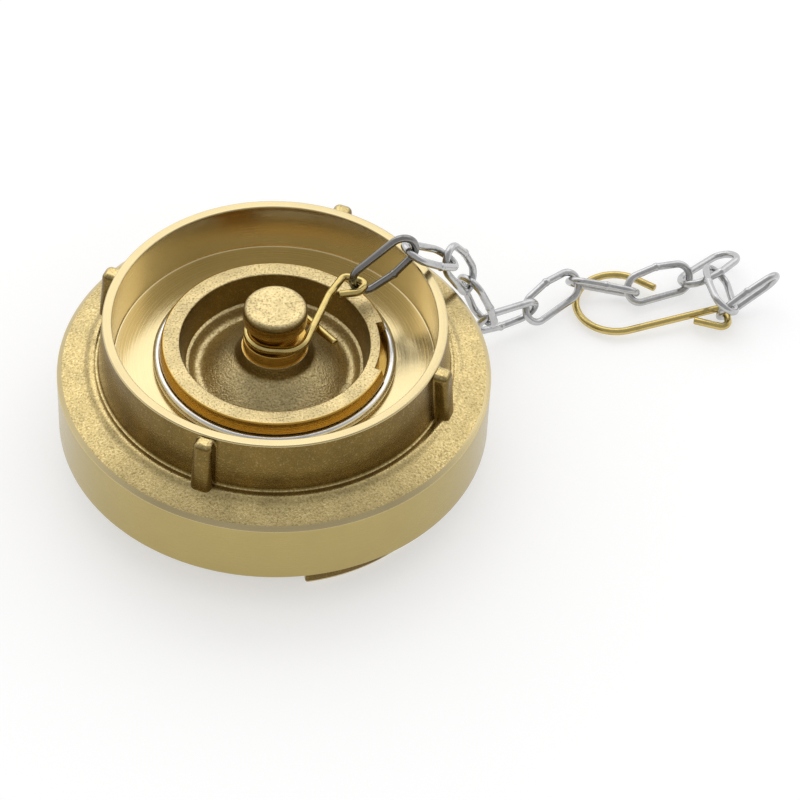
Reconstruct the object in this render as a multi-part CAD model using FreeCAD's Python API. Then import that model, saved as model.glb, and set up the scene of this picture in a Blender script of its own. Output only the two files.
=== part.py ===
import FreeCAD, Part
import math
import os

# Brass blank cap with claws for a size 40 hose coupling, lying on its claws with the closed side up,
# and the chain that ties it to the hose line. Millimetres. Z is the turning axis and points to the
# closed side; z = 0 is the mating plane, where the cap's seal meets the other half's seal.

# Claws and the channel that takes the other half's claws
CLAW_COUNT = 2
CLAW_AZ = 122.5             # direction of the middle of the first claw, degrees from +X
CLAW_SPAN = 44.0            # width of a claw, degrees
CLAW_INNER_R = 26.0         # half of the 52 mm between the claws
CLAW_WALL = 5.3             # thickness of a claw's root
CLAW_Z = -8.9               # tip of the claws, which the cap stands on
CLAW_EDGE = 0.5             # rounding of a claw's ends
TOE_REACH = 3.9             # how far the toe stands out from the root
TOE_H = 4.1                 # height of the toe
TOE_EDGE = 0.8
LEDGE_LAP = 0.3             # how far the ledge laps the claws' roots
LEDGE_H = 4.9               # full height of the gripping ledge
LEDGE_RISE = 0.9            # rise of the ramp that draws the seals together
RAMP_SPAN = 87.0            # length of the ramp, degrees
RAMP_ROOT = 0.25            # step left in the channel's corner by the ramp's cutter
ENTRY_SPAN = 48.0           # width of each opening in the ledge, degrees
ENTRY_PLAY = 0.6            # room outside the toe in that opening
CHANNEL_PLAY = 1.4          # room outside the toe in the channel
CHANNEL_CORNER = 1.0
SKIRT_WALL = 4.4            # wall of the skirt round the channel

# Coupling ring
SKIRT_H = 12.9              # height of the machined side
SKIRT_EDGE = 0.4            # broken edge round the mating side
FLANGE_CHAMFER = 0.9        # turned chamfer above the machined side
CHAMFER_RISE = 0.6
WEB_T = 4.5                 # thickness of the web that carries the plug
COLLAR_H = 10.5             # depth of the bore above the web
BORE_R = 30.4               # turned bore of the collar
RIM_WALL = 1.8              # width of the rim's turned land
RIM_EDGE = 0.25
COLLAR_DRAFT = 1.0          # how much wider the cast collar is at its foot
FOOT_DROP = 0.5             # foot of the collar below the web's upper face
FOOT_RADIUS = 0.9
BEAD_REACH = 1.3            # cast bead round the collar's foot
BEAD_RISE = 0.35
BEAD_FALL = 0.8
BEAD_RADIUS = 0.8

# Spanner lugs on the collar
LUG_COUNT = 4
LUG_AZ = 68.0               # direction of the first lug, degrees from +X
LUG_W = 4.4                 # width of a lug at its foot
LUG_TOP_W = 3.6
LUG_REACH = 2.3             # how far a lug stands out from the collar's foot
LUG_LEAN = 0.9              # how much less it reaches at its top
LUG_DROP = 0.5              # top of a lug below the rim
LUG_ROOT = 2.0              # how far a lug is rooted in the collar
LUG_EDGE = 1.1              # rounding of a lug's outer edges

# Blank plug
PLUG_R = 21.8               # body of the plug, which turns in the web
TURN_PLAY = 0.1             # running clearance of the plug in the web
FACE_PLAY = 0.1             # clearance between the plug's flange and the web
PLUG_FLANGE_R = 25.3
PLUG_FLANGE_T = 6.2
HUB_R = 18.6                # hub that carries the seal
HUB_H = 5.0
HUB_GROOVE_DEPTH = 1.0      # undercut for the seal's bead
HUB_GROOVE_LOW = 2.2
HUB_GROOVE_H = 2.4
RECESS_R = 14.5             # hollow in the plug's front
RECESS_DEPTH = 6.0
RECESS_CORNER = 2.5
RIM_RISE = 2.5              # plug's cast rim above the snap ring's groove
RIM_TAPER = 0.6
BOWL_R = 17.9               # mouth of the bowl
BOWL_DRAFT = 1.1            # how much narrower the bowl is at its shelf
SHELF_DEPTH = 5.6           # narrow shelf in the bowl's wall, below the rim
SHELF_W = 0.6
BOWL_DEPTH = 8.0            # lowest part of the bowl, below the rim
BOWL_FLOOR_R = 14.6         # radius of that lowest part
SLOT_AZ = -1.9              # middle of the slot in the rim, degrees from +X
SLOT_SPAN = 35.2
SLOT_DEPTH = 2.1            # how far the slot cuts into the rim from its outer edge

# Knob, in one piece with the plug
KNOB_R = 6.0
KNOB_FLARE_R = 7.4          # foot of the knob in the bowl
KNOB_FLARE_Z = 17.3
KNOB_FOOT_Z = 19.45         # where the turned part starts
KNOB_FOOT_STEP = 0.28
KNOB_LIP_H = 2.55           # turned collar below the groove
KNOB_GROOVE_R = 4.4
KNOB_GROOVE_H = 4.1
KNOB_HEAD_H = 3.7
KNOB_EDGE = 0.55

# Snap ring of steel wire
SNAP_D = 1.9
SNAP_GROOVE_DEPTH = 0.8
SNAP_PLAY = 0.05            # clearance above the web and above the wire
SNAP_GAP_AZ = 100.0         # direction of the gap between its ends
SNAP_GAP = 10.0             # that gap, degrees

# Seal ring of rubber
SEAL_PLAY = 0.1             # fit of the seal on the hub
SEAL_R = 25.0
SEAL_PROUD = 0.8            # how far the lip stands out of the mating plane
SEAL_LIP_R = 21.9           # middle of the lip
SEAL_LIP_W = 3.0
SEAL_FACE_Z = 0.3           # face of the seal beside its lip
SEAL_EDGE = 0.5

# Wire hook on the knob; each side of its turn is a line given by its direction from the axis and the
# slack between the wire and the bottom of the groove, in the order shank, front, left, back, tail
HOOK_D = 1.5
HOOK_PLAY = 0.1
WIRE_EDGE = 0.25            # rounding of a wire's cut ends
TURN_AZ = [-20.0, -95.0, -180.0, -265.0, -322.0]
TURN_SLACK = [1.25, 0.1, 0.0, 0.0, 1.65]
TURN_LIFT = [0.75, 0.45, 0.15, 0.0]         # height of the turn's corners over the groove's floor
TURN_RADII = [4.2, 5.2, 5.2, 5.0]
SHANK_BEND = (10.0, 8.5)
SHANK_BEND_LIFT = 1.55
SHANK_BEND_R = 6.0
EYE_END = (11.9, 8.5)
EYE_CORNERS = [(15.6, 9.2), (17.4, 11.7), (12.9, 13.7)]
EYE_RADII = [1.3, 1.2, 1.3]
EYE_LIFT = 1.75
TAIL_END = (11.3, -1.8)
TAIL_DROP = 0.85

# Chain link, a bent wire with a butt weld in the middle of one arm
CHAIN_D = 1.5
LINK_L = 15.5               # length over all
LINK_CROWN_R = 2.9          # radius of the crowns' centre line
LINK_BEND = 7.0             # outward lean of the welded arm's halves, degrees
WELD_R = 0.88               # bead of the weld
CHAIN_PLAY = 0.12           # clearance where one wire hangs in another

# How the chain lies, link by link from the knob: heading from +X, dip below the horizontal and turn
# about its own length, in degrees
LINK_LIE = [
    (23, -34, -98),
    (39, 38, -176),
    (42, 59, 64),
    (20, 70, 156),
    (34, 11, -75),
    (42, -4, 57),
    (-1, 12, 129),
    (23, 1, 57),
    (42, 3, 155),
    (-85, -11, 141),
    (28, -23, 112),
]
# Where each link touches: how far from the middle of its crown the wire that it hangs on is met, and
# how far from the middle of the link's own crown
LINK_TOUCH = [
    (1.2, -1.3), (2.1, -0.1), (-0.9, -0.5), (0.1, 0.2), (0.4, 1.7), (2.1, 0.9),
    (0.3, 1.2), (1.7, 0.4), (-2.1, 1.8), (8.0, 1.1), (-2.4, -4.1),
]

# End hook, in its own plane: x runs along the shank away from the eye, y towards the tip
END_BEND_R = 8.0
END_SHANK_L = 18.5          # from the eye's corner to the start of the bend
END_SHANK_Y = 2.3
END_BEND_SPAN = 232.0       # degrees from the shank to the tip's straight end
END_TIP_L = 4.5
END_EYE_CORNERS = [(-2.3, 2.3), (-0.6, -3.6)]
END_EYE_RADII = [1.4, 1.4]
END_EYE_END = (5.2, 0.7)
END_LIE = (-163, 3, 180)
END_TOUCH = (1.0, -1.6)

# Sizes that follow from the ones above
CLAW_ROOT_R = CLAW_INNER_R + CLAW_WALL
TOE_R = CLAW_ROOT_R + TOE_REACH
LEDGE_R = CLAW_ROOT_R - LEDGE_LAP
CHANNEL_R = TOE_R + CHANNEL_PLAY
FLANGE_R = CHANNEL_R + SKIRT_WALL
HOLE_R = PLUG_R + TURN_PLAY
PLUG_FLANGE_Z = HUB_H + PLUG_FLANGE_T
WEB_Z = PLUG_FLANGE_Z + FACE_PLAY
FLOOR_Z = WEB_Z + WEB_T
RIM_Z = FLOOR_Z + COLLAR_H
FOOT_Z = FLOOR_Z - FOOT_DROP
COLLAR_TOP_R = BORE_R + RIM_WALL
COLLAR_FOOT_R = COLLAR_TOP_R + COLLAR_DRAFT
SNAP_BOTTOM_R = PLUG_R - SNAP_GROOVE_DEPTH
SNAP_R = SNAP_BOTTOM_R + SNAP_PLAY + SNAP_D / 2
SNAP_Z = FLOOR_Z + SNAP_PLAY + SNAP_D / 2
SNAP_TOP_Z = FLOOR_Z + SNAP_D + 4 * SNAP_PLAY
PLUG_RIM_Z = SNAP_TOP_Z + RIM_RISE
PLUG_RIM_R = PLUG_R - RIM_TAPER
KNOB_GROOVE_Z = KNOB_FOOT_Z + KNOB_LIP_H
KNOB_HEAD_Z = KNOB_GROOVE_Z + KNOB_GROOVE_H
KNOB_TOP_Z = KNOB_HEAD_Z + KNOB_HEAD_H
TURN_Z = KNOB_GROOVE_Z + HOOK_D / 2 + HOOK_PLAY
TURN_R = KNOB_GROOVE_R + HOOK_D / 2 + HOOK_PLAY
LINK_HALF = LINK_L / 2 - CHAIN_D / 2 - LINK_CROWN_R

UP = FreeCAD.Vector(0, 0, 1)
ORIGIN = FreeCAD.Vector(0, 0, 0)


def path(points, radii, closed=False):
    """Edges through the points, with an arc of its radius at each corner (0 keeps it sharp)."""
    count = len(points)
    corners = range(count) if closed else range(1, count - 1)
    starts = list(points)
    ends = list(points)
    arcs = {}
    for place, radius in zip(corners, radii):
        corner = points[place]
        back = (points[place - 1] - corner).normalize()
        ahead = (points[(place + 1) % count] - corner).normalize()
        half = back.getAngle(ahead) / 2
        if radius > 0:
            reach = radius / math.tan(half)
            starts[place] = corner + back * reach
            ends[place] = corner + ahead * reach
            inward = (back + ahead).normalize()
            middle = corner + inward * (radius / math.sin(half) - radius)
            arcs[place] = Part.Arc(starts[place], middle, ends[place]).toShape()
    edges = []
    for place in range(count if closed else count - 1):
        following = (place + 1) % count
        if place in arcs:
            edges.append(arcs[place])
        if ends[place].distanceToPoint(starts[following]) > 1e-6:
            edges.append(Part.LineSegment(ends[place], starts[following]).toShape())
    return edges


def section(corners):
    """Face in the XZ plane from (radius, height, rounding) corners."""
    points = [FreeCAD.Vector(r, 0, z) for r, z, rounding in corners]
    radii = [rounding for r, z, rounding in corners]
    return Part.Face(Part.Wire(path(points, radii, closed=True)))


def turned(corners, start=0.0, span=360.0):
    """Solid turned about Z from a section, over the span from the start direction, in degrees."""
    solid = section(corners).revolve(ORIGIN, UP, span)
    solid.rotate(ORIGIN, UP, start)
    return solid


def one_solid(shape):
    """The only solid of a joined shape, with its split faces merged."""
    merged = shape.removeSplitter()
    if len(merged.Solids) != 1:
        raise ValueError("expected one solid, got %d" % len(merged.Solids))
    return merged.Solids[0]


def round_wire(edges, diameter):
    """Solids of a round wire along straight edges and arcs: a cylinder or part of a ring for each."""
    solids = []
    for edge in edges:
        start = edge.valueAt(edge.FirstParameter)
        end = edge.valueAt(edge.LastParameter)
        tangent = edge.tangentAt(edge.FirstParameter)
        disc = Part.Face(Part.Wire(Part.makeCircle(diameter / 2, start, tangent)))
        if isinstance(edge.Curve, Part.Circle):
            turn = math.degrees(edge.LastParameter - edge.FirstParameter)
            solids.append(disc.revolve(edge.Curve.Center, edge.Curve.Axis, turn))
        else:
            solids.append(disc.extrude(end - start))
    return solids


def joined(solids):
    """One solid from pieces that meet."""
    return one_solid(solids[0].fuse(solids[1:]))


def along(edges, distance):
    """Point and direction of travel at a distance along a run of edges that may close on itself."""
    left = distance % sum(edge.Length for edge in edges)
    for edge in edges:
        if left <= edge.Length:
            break
        left -= edge.Length
    here = edge.getParameterByLength(left)
    return edge.valueAt(here), edge.tangentAt(here)


def coupling_ring():
    """The casting that turns: flange, skirt with the ledge, collar, lugs and claws."""
    chamfer_r = FLANGE_R - FLANGE_CHAMFER
    chamfer_z = SKIRT_H + CHAMFER_RISE
    body = turned([
        (HOLE_R, WEB_Z, 0),
        (HOLE_R, FLOOR_Z, RIM_EDGE),
        (BORE_R, FLOOR_Z, RIM_EDGE),
        (BORE_R, RIM_Z, RIM_EDGE),
        (COLLAR_TOP_R, RIM_Z, RIM_EDGE),
        (COLLAR_FOOT_R, FOOT_Z, FOOT_RADIUS),
        (COLLAR_FOOT_R + BEAD_REACH, FOOT_Z + BEAD_RISE, BEAD_RADIUS),
        (COLLAR_FOOT_R + 2 * BEAD_REACH, FOOT_Z + BEAD_RISE - BEAD_FALL, BEAD_RADIUS),
        (chamfer_r, chamfer_z, 0),
        (FLANGE_R, SKIRT_H, 0),
        (FLANGE_R, SKIRT_EDGE, 0),
        (FLANGE_R - SKIRT_EDGE, 0, 0),
        (CHANNEL_R, 0, 0),
        (CHANNEL_R, WEB_Z, CHANNEL_CORNER),
    ])
    ledge_span = 360.0 / CLAW_COUNT - ENTRY_SPAN
    entry_start = CLAW_AZ + CLAW_SPAN / 2
    for claw in range(CLAW_COUNT):
        start = entry_start + ENTRY_SPAN + claw * 360.0 / CLAW_COUNT
        body = body.fuse(ledge(start, ledge_span))
    for claw in range(CLAW_COUNT):
        start = entry_start + claw * 360.0 / CLAW_COUNT
        body = body.cut(ramp_cutter(start + ENTRY_SPAN))
        body = body.fuse(entry_wall(start))
        body = body.fuse(claw_solid(CLAW_AZ + claw * 360.0 / CLAW_COUNT))
    for lug in range(LUG_COUNT):
        body = body.fuse(lug_solid(LUG_AZ + lug * 360.0 / LUG_COUNT))
    return one_solid(body)


def ledge(start, span):
    """Stretch of the inward ledge under which the other half's claws slide."""
    lap = SKIRT_WALL / 2
    return turned([
        (LEDGE_R, 0, SKIRT_EDGE),
        (CHANNEL_R + lap, 0, 0),
        (CHANNEL_R + lap, LEDGE_H, 0),
        (LEDGE_R, LEDGE_H, SKIRT_EDGE),
    ], start, span)


def entry_wall(start):
    """Lining that narrows the channel to the toe's play in an opening of the ledge."""
    lap = SKIRT_WALL / 2
    return turned([
        (TOE_R + ENTRY_PLAY, 0, 0),
        (CHANNEL_R + lap, 0, 0),
        (CHANNEL_R + lap, LEDGE_H, 0),
        (TOE_R + ENTRY_PLAY, LEDGE_H, 0),
    ], start, ENTRY_SPAN)


def ramp_cutter(start):
    """Body swept up a helix, whose underside leaves the ledge's rising ramp."""
    pitch = LEDGE_RISE * 360.0 / RAMP_SPAN
    outer = CHANNEL_R - RAMP_ROOT
    inner = LEDGE_R - CHANNEL_CORNER
    low = LEDGE_H - LEDGE_RISE
    helix = Part.makeHelix(pitch, LEDGE_RISE, outer)
    corners = [(inner, 0), (outer, 0), (outer, LEDGE_RISE * 2), (inner, LEDGE_RISE * 2)]
    points = [FreeCAD.Vector(r, 0, z) for r, z in corners]
    outline = Part.Wire(path(points, [0] * len(points), closed=True))
    cutter = Part.Wire(helix.Edges).makePipeShell([outline], True, True)
    cutter.translate(FreeCAD.Vector(0, 0, low))
    cutter.rotate(ORIGIN, UP, start)
    return cutter


def claw_solid(azimuth):
    """Hooked claw with its toe outwards, rounded at its ends."""
    rooted = WEB_Z + WEB_T / 4
    under = CLAW_Z + TOE_H
    claw = turned([
        (CLAW_INNER_R, CLAW_Z, TOE_EDGE),
        (TOE_R, CLAW_Z, TOE_EDGE),
        (TOE_R, under, TOE_EDGE),
        (CLAW_ROOT_R, under, TOE_EDGE),
        (CLAW_ROOT_R, rooted, 0),
        (CLAW_INNER_R, rooted, 0),
    ], azimuth - CLAW_SPAN / 2, CLAW_SPAN)
    ends = [face for face in claw.Faces if isinstance(face.Surface, Part.Plane)
            and abs(face.normalAt(0, 0).z) < 0.01]
    edges = [edge for face in ends for edge in face.Edges if edge.BoundBox.ZMin < WEB_Z - CLAW_EDGE]
    return claw.makeFillet(CLAW_EDGE, edges)


def lug_solid(azimuth):
    """Spanner lug with draft, rounded at its top and down its outer corners, at its direction."""
    inner = COLLAR_TOP_R - RIM_WALL / 2
    foot_z = SKIRT_H
    top_z = RIM_Z - LUG_DROP
    reach = COLLAR_FOOT_R + LUG_REACH
    sections = []
    for z, width, outer in [(foot_z, LUG_W, reach), (top_z, LUG_TOP_W, reach - LUG_LEAN)]:
        corners = [(inner, -width / 2), (outer, -width / 2), (outer, width / 2), (inner, width / 2)]
        points = [FreeCAD.Vector(x, y, z) for x, y in corners]
        sections.append(Part.Wire(path(points, [0] * len(points), closed=True)))
    lug = Part.makeLoft(sections, True, True)
    outside = [edge for edge in lug.Edges if edge.BoundBox.XMax > reach - LUG_LEAN - 0.01
               and edge.BoundBox.ZMax > foot_z + 1]
    lug = lug.makeFillet(LUG_EDGE, outside)
    lug.rotate(ORIGIN, UP, azimuth)
    return lug


def blank_plug():
    """The closing plug: seal hub, flange, running body, cast rim and bowl, and the knob."""
    rim_r = BOWL_R - BOWL_DRAFT
    groove_low = HUB_GROOVE_LOW
    groove_high = HUB_GROOVE_LOW + HUB_GROOVE_H
    plug = turned([
        (0, RECESS_DEPTH, 0),
        (RECESS_R, RECESS_DEPTH, RECESS_CORNER),
        (RECESS_R, 0, SKIRT_EDGE),
        (HUB_R, 0, SKIRT_EDGE),
        (HUB_R, groove_low, 0),
        (HUB_R - HUB_GROOVE_DEPTH, groove_low, 0),
        (HUB_R - HUB_GROOVE_DEPTH, groove_high, 0),
        (HUB_R, groove_high, 0),
        (HUB_R, HUB_H, 0),
        (PLUG_FLANGE_R, HUB_H, SKIRT_EDGE),
        (PLUG_FLANGE_R, PLUG_FLANGE_Z, SKIRT_EDGE),
        (PLUG_R, PLUG_FLANGE_Z, 0),
        (PLUG_R, FLOOR_Z, 0),
        (SNAP_BOTTOM_R, FLOOR_Z, 0),
        (SNAP_BOTTOM_R, SNAP_TOP_Z, 0),
        (PLUG_R, SNAP_TOP_Z, SKIRT_EDGE),
        (PLUG_RIM_R, PLUG_RIM_Z, SKIRT_EDGE),
        (BOWL_R, PLUG_RIM_Z, SKIRT_EDGE),
        (rim_r, PLUG_RIM_Z - SHELF_DEPTH, 0),
        (rim_r - SHELF_W, PLUG_RIM_Z - SHELF_DEPTH - 0.25, SKIRT_EDGE),
        (BOWL_FLOOR_R, PLUG_RIM_Z - BOWL_DEPTH, RECESS_CORNER / 2),
        (KNOB_FLARE_R, KNOB_FLARE_Z, RECESS_CORNER),
        (KNOB_R + KNOB_FOOT_STEP, KNOB_FOOT_Z, 0),
        (KNOB_R, KNOB_FOOT_Z, 0),
        (KNOB_R, KNOB_GROOVE_Z, RIM_EDGE),
        (KNOB_GROOVE_R, KNOB_GROOVE_Z, 0),
        (KNOB_GROOVE_R, KNOB_HEAD_Z, 0),
        (KNOB_R, KNOB_HEAD_Z, RIM_EDGE),
        (KNOB_R, KNOB_TOP_Z, KNOB_EDGE),
        (0, KNOB_TOP_Z, 0),
    ])
    slot = turned([
        (PLUG_RIM_R - SLOT_DEPTH + RIM_TAPER, FLOOR_Z, 0),
        (PLUG_R + 1, FLOOR_Z, 0),
        (PLUG_R + 1, PLUG_RIM_Z + 1, 0),
        (PLUG_RIM_R - SLOT_DEPTH + RIM_TAPER, PLUG_RIM_Z + 1, 0),
    ], SLOT_AZ - SLOT_SPAN / 2, SLOT_SPAN)
    return one_solid(plug.cut(slot))


def snap_ring():
    """Open ring of round wire in the plug's groove, lying on the web."""
    turn = math.radians(360.0 - SNAP_GAP)
    ring = Part.makeCircle(SNAP_R, FreeCAD.Vector(0, 0, SNAP_Z), UP, 0, math.degrees(turn))
    body = joined(round_wire([ring], SNAP_D))
    body.rotate(ORIGIN, UP, SNAP_GAP_AZ + SNAP_GAP / 2)
    return body


def seal_ring():
    """Rubber ring on the hub, with a bead in its undercut and a lip that stands proud."""
    bore = HUB_R + SEAL_PLAY
    bead = HUB_R - HUB_GROOVE_DEPTH + SEAL_PLAY
    low = HUB_GROOVE_LOW + SEAL_PLAY
    high = HUB_GROOVE_LOW + HUB_GROOVE_H - SEAL_PLAY
    top = HUB_H - SEAL_PLAY
    inner_lip = SEAL_LIP_R - SEAL_LIP_W / 2
    outer_lip = SEAL_LIP_R + SEAL_LIP_W / 2
    return one_solid(turned([
        (bore, SEAL_FACE_Z, 0),
        (inner_lip, SEAL_FACE_Z, 0),
        (inner_lip + SEAL_EDGE, -SEAL_PROUD, SEAL_EDGE),
        (outer_lip - SEAL_EDGE, -SEAL_PROUD, SEAL_EDGE),
        (outer_lip, SEAL_FACE_Z, 0),
        (SEAL_R, SEAL_FACE_Z, SEAL_EDGE),
        (SEAL_R, top, SEAL_EDGE),
        (bore, top, 0),
        (bore, high, 0),
        (bead, high, SEAL_EDGE),
        (bead, low, SEAL_EDGE),
        (bore, low, 0),
    ]))


def crossing(side):
    """Point where a side of the hook's turn meets the next one, in plan."""
    rows = []
    for azimuth, slack in zip(TURN_AZ[side:side + 2], TURN_SLACK[side:side + 2]):
        angle = math.radians(azimuth)
        rows.append((math.cos(angle), math.sin(angle), TURN_R + slack))
    (a, b, p), (c, d, q) = rows
    scale = a * d - b * c
    return (p * d - b * q) / scale, (a * q - p * c) / scale


def knob_hook_path():
    """Centre line of the knob's hook from its eye's end, and where along it the chain hangs."""
    eye_z = TURN_Z + EYE_LIFT
    eye = [FreeCAD.Vector(x, y, eye_z) for x, y in EYE_CORNERS]
    points = [FreeCAD.Vector(EYE_END[0], EYE_END[1], eye_z)] + eye
    points.append(FreeCAD.Vector(SHANK_BEND[0], SHANK_BEND[1], TURN_Z + SHANK_BEND_LIFT))
    for side, lift in enumerate(TURN_LIFT):
        x, y = crossing(side)
        points.append(FreeCAD.Vector(x, y, TURN_Z + lift))
    points.append(FreeCAD.Vector(TAIL_END[0], TAIL_END[1], TURN_Z - TAIL_DROP))
    edges = path(points, EYE_RADII + [SHANK_BEND_R] + TURN_RADII)
    return edges, reach_to(edges, 2, (eye[0] + eye[1]) * 0.5)


def link_path():
    """Closed centre line of a link: plain arm, crown, two halves of the welded arm, crown."""
    bend = math.radians(LINK_BEND)
    r = LINK_CROWN_R
    x = LINK_HALF + r * math.sin(bend)
    y = r * math.cos(bend)
    weld = FreeCAD.Vector(0, y + x * math.tan(bend), 0)
    foot = FreeCAD.Vector(LINK_HALF, -r, 0)
    mirrored = FreeCAD.Vector(-LINK_HALF, -r, 0)
    right = Part.Arc(foot, FreeCAD.Vector(LINK_HALF + r, 0, 0), FreeCAD.Vector(x, y, 0)).toShape()
    left = Part.Arc(FreeCAD.Vector(-x, y, 0), FreeCAD.Vector(-LINK_HALF - r, 0, 0), mirrored).toShape()
    arm = Part.LineSegment(mirrored, foot).toShape()
    lead = Part.LineSegment(FreeCAD.Vector(x, y, 0), weld).toShape()
    trail = Part.LineSegment(weld, FreeCAD.Vector(-x, y, 0)).toShape()
    return [arm, right, lead, trail, left], weld


def end_hook_path():
    """Centre line of the end hook from its tip, in its own plane, and where along it the chain is."""
    centre = FreeCAD.Vector(END_SHANK_L, END_SHANK_Y + END_BEND_R, 0)
    spots = []
    for part in (1.0, 0.5, 0.0):
        angle = math.radians(END_BEND_SPAN * part - 90)
        spots.append(centre + FreeCAD.Vector(math.cos(angle), math.sin(angle), 0) * END_BEND_R)
    bend = Part.Arc(spots[0], spots[1], spots[2]).toShape()
    tip = spots[0] - bend.tangentAt(bend.FirstParameter) * END_TIP_L
    corners = [FreeCAD.Vector(x, y, 0) for x, y in END_EYE_CORNERS]
    eye_end = FreeCAD.Vector(END_EYE_END[0], END_EYE_END[1], 0)
    edges = [Part.LineSegment(tip, spots[0]).toShape(), bend]
    edges += path([spots[2]] + corners + [eye_end], END_EYE_RADII)
    return edges, reach_to(edges, 4, (corners[0] + corners[1]) * 0.5)


def reach_to(edges, place, point):
    """Distance along a run of edges to a point that lies on the straight edge at that place."""
    start = edges[place].valueAt(edges[place].FirstParameter)
    return sum(edge.Length for edge in edges[:place]) + start.distanceToPoint(point)


def wire_piece(edges, diameter):
    """Open piece of round wire with its two cut ends rounded."""
    body = joined(round_wire(edges, diameter))
    ends = [face for face in body.Faces if isinstance(face.Surface, Part.Plane)]
    return body.makeFillet(WIRE_EDGE, [edge for face in ends for edge in face.Edges])


def link_solid(edges, weld):
    """Chain link in its own frame, with the weld's bead."""
    bead = Part.makeSphere(WELD_R, weld, FreeCAD.Vector(1, 0, 0))
    return joined(round_wire(edges, CHAIN_D) + [bead])


def seat(edges, distance, placement):
    """Point, direction and inner side of a placed wire, a distance along its centre line."""
    point, tangent = along(edges, distance)
    turn = placement.Rotation
    return placement.multVec(point), turn.multVec(tangent), turn.multVec(UP.cross(tangent))


def hung(carrier, edges, distance, lie, gap):
    """Placement of a wire piece that hangs in its carrier's seat: the two wires cross there, the gap
    apart from centre to centre, each on the inner side of the other."""
    point, tangent, inward = carrier
    turn = FreeCAD.Rotation(*lie)
    own_point, own_tangent = along(edges, distance)
    across = tangent.cross(turn.multVec(own_tangent)).normalize()
    if across.dot(inward) < 0:
        across = across * -1
    return FreeCAD.Placement(point + across * gap - turn.multVec(own_point), turn)


def chain():
    """The knob's hook, the links and the end hook, each hung in the one before."""
    hook_edges, hook_seat = knob_hook_path()
    link_edges, weld = link_path()
    end_edges, end_seat = end_hook_path()
    quarter = LINK_CROWN_R * math.pi / 2
    outer_crown = 2 * LINK_HALF + quarter
    inner_crown = sum(edge.Length for edge in link_edges) - quarter
    nodes = {"knob_hook": wire_piece(hook_edges, HOOK_D)}
    gap = (HOOK_D + CHAIN_D) / 2 + CHAIN_PLAY
    carrier_edges = hook_edges
    carrier_seat = hook_seat
    placement = FreeCAD.Placement()
    for number, (lie, (there, here)) in enumerate(zip(LINK_LIE, LINK_TOUCH), 1):
        carrier = seat(carrier_edges, carrier_seat + there, placement)
        placement = hung(carrier, link_edges, inner_crown + here, lie, gap)
        solid = link_solid(link_edges, weld)
        solid.Placement = placement
        nodes["link_%02d" % number] = solid
        gap = CHAIN_D + CHAIN_PLAY
        carrier_edges = link_edges
        carrier_seat = outer_crown
    there, here = END_TOUCH
    carrier = seat(link_edges, inner_crown + there, placement)
    gap = (HOOK_D + CHAIN_D) / 2 + CHAIN_PLAY
    solid = wire_piece(end_edges, HOOK_D)
    solid.Placement = hung(carrier, end_edges, end_seat + here, END_LIE, gap)
    nodes["end_hook"] = solid
    return nodes


def build():
    """Every piece in place, as node name and solid."""
    nodes = {
        "coupling_ring": coupling_ring(),
        "blank_plug": blank_plug(),
        "snap_ring": snap_ring(),
        "seal_ring": seal_ring(),
    }
    nodes.update(chain())
    return nodes


os.makedirs("parts", exist_ok=True)
for name, solid in build().items():
    solid.exportStep("parts/" + name + ".step")
    print("%s: %d faces, %.1f mm3, valid %s" % (name, len(solid.Faces), solid.Volume, solid.isValid()))
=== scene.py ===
"""Brass blank cap for a size 40 hose coupling, with its chain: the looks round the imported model."""
import math

import bpy
import numpy as np
from bpy.props import FloatProperty, FloatVectorProperty, IntProperty, PointerProperty
from mathutils import Matrix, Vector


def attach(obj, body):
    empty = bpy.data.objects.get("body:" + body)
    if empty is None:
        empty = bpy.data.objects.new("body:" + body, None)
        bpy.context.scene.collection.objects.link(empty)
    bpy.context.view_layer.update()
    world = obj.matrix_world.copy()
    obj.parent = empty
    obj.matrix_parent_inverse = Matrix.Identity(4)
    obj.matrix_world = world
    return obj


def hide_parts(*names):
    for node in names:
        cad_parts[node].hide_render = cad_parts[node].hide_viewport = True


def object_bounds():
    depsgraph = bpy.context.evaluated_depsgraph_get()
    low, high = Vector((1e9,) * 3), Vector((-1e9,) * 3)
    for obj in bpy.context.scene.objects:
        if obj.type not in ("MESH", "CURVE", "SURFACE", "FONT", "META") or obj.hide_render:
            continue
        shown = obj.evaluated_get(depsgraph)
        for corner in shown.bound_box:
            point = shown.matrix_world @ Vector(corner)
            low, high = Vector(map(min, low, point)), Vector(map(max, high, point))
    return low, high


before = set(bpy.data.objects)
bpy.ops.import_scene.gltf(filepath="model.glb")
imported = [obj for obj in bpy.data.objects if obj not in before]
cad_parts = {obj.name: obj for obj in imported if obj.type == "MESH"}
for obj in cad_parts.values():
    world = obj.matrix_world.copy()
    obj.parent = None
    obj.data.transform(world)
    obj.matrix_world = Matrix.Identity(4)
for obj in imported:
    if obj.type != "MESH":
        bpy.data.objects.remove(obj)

CAD_BOX = [list(corner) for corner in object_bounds()]

bl_info = {
    "name": "Blank cap with chain",
    "version": (1, 0, 0),
    "blender": (4, 5, 0),
    "location": "3D View > Sidebar > Blank cap",
    "description": "Dresses the brass blank cap, its wire hooks and its chain",
    "category": "Add Mesh",
}

MM = 0.001
TURN = 2 * math.pi
UP = np.array([0.0, 0.0, 1.0])

# Grids: greatest turn of one step of an arc in radians, steps along the wires in mm, and the angle in
# degrees past which an edge is sharp
ARC_TURN = 0.28
WIRE_STEP = 0.4
LINK_STEP = 0.2
SNAP_STEP = 0.6
FINE_STEP = 0.05
SHARP_ANGLE = 35.0

# Finishes, in the order of the ring's materials; the plug has the first two
CAST, TURNED, FACED, SIDE = 0, 1, 2, 3

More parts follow.
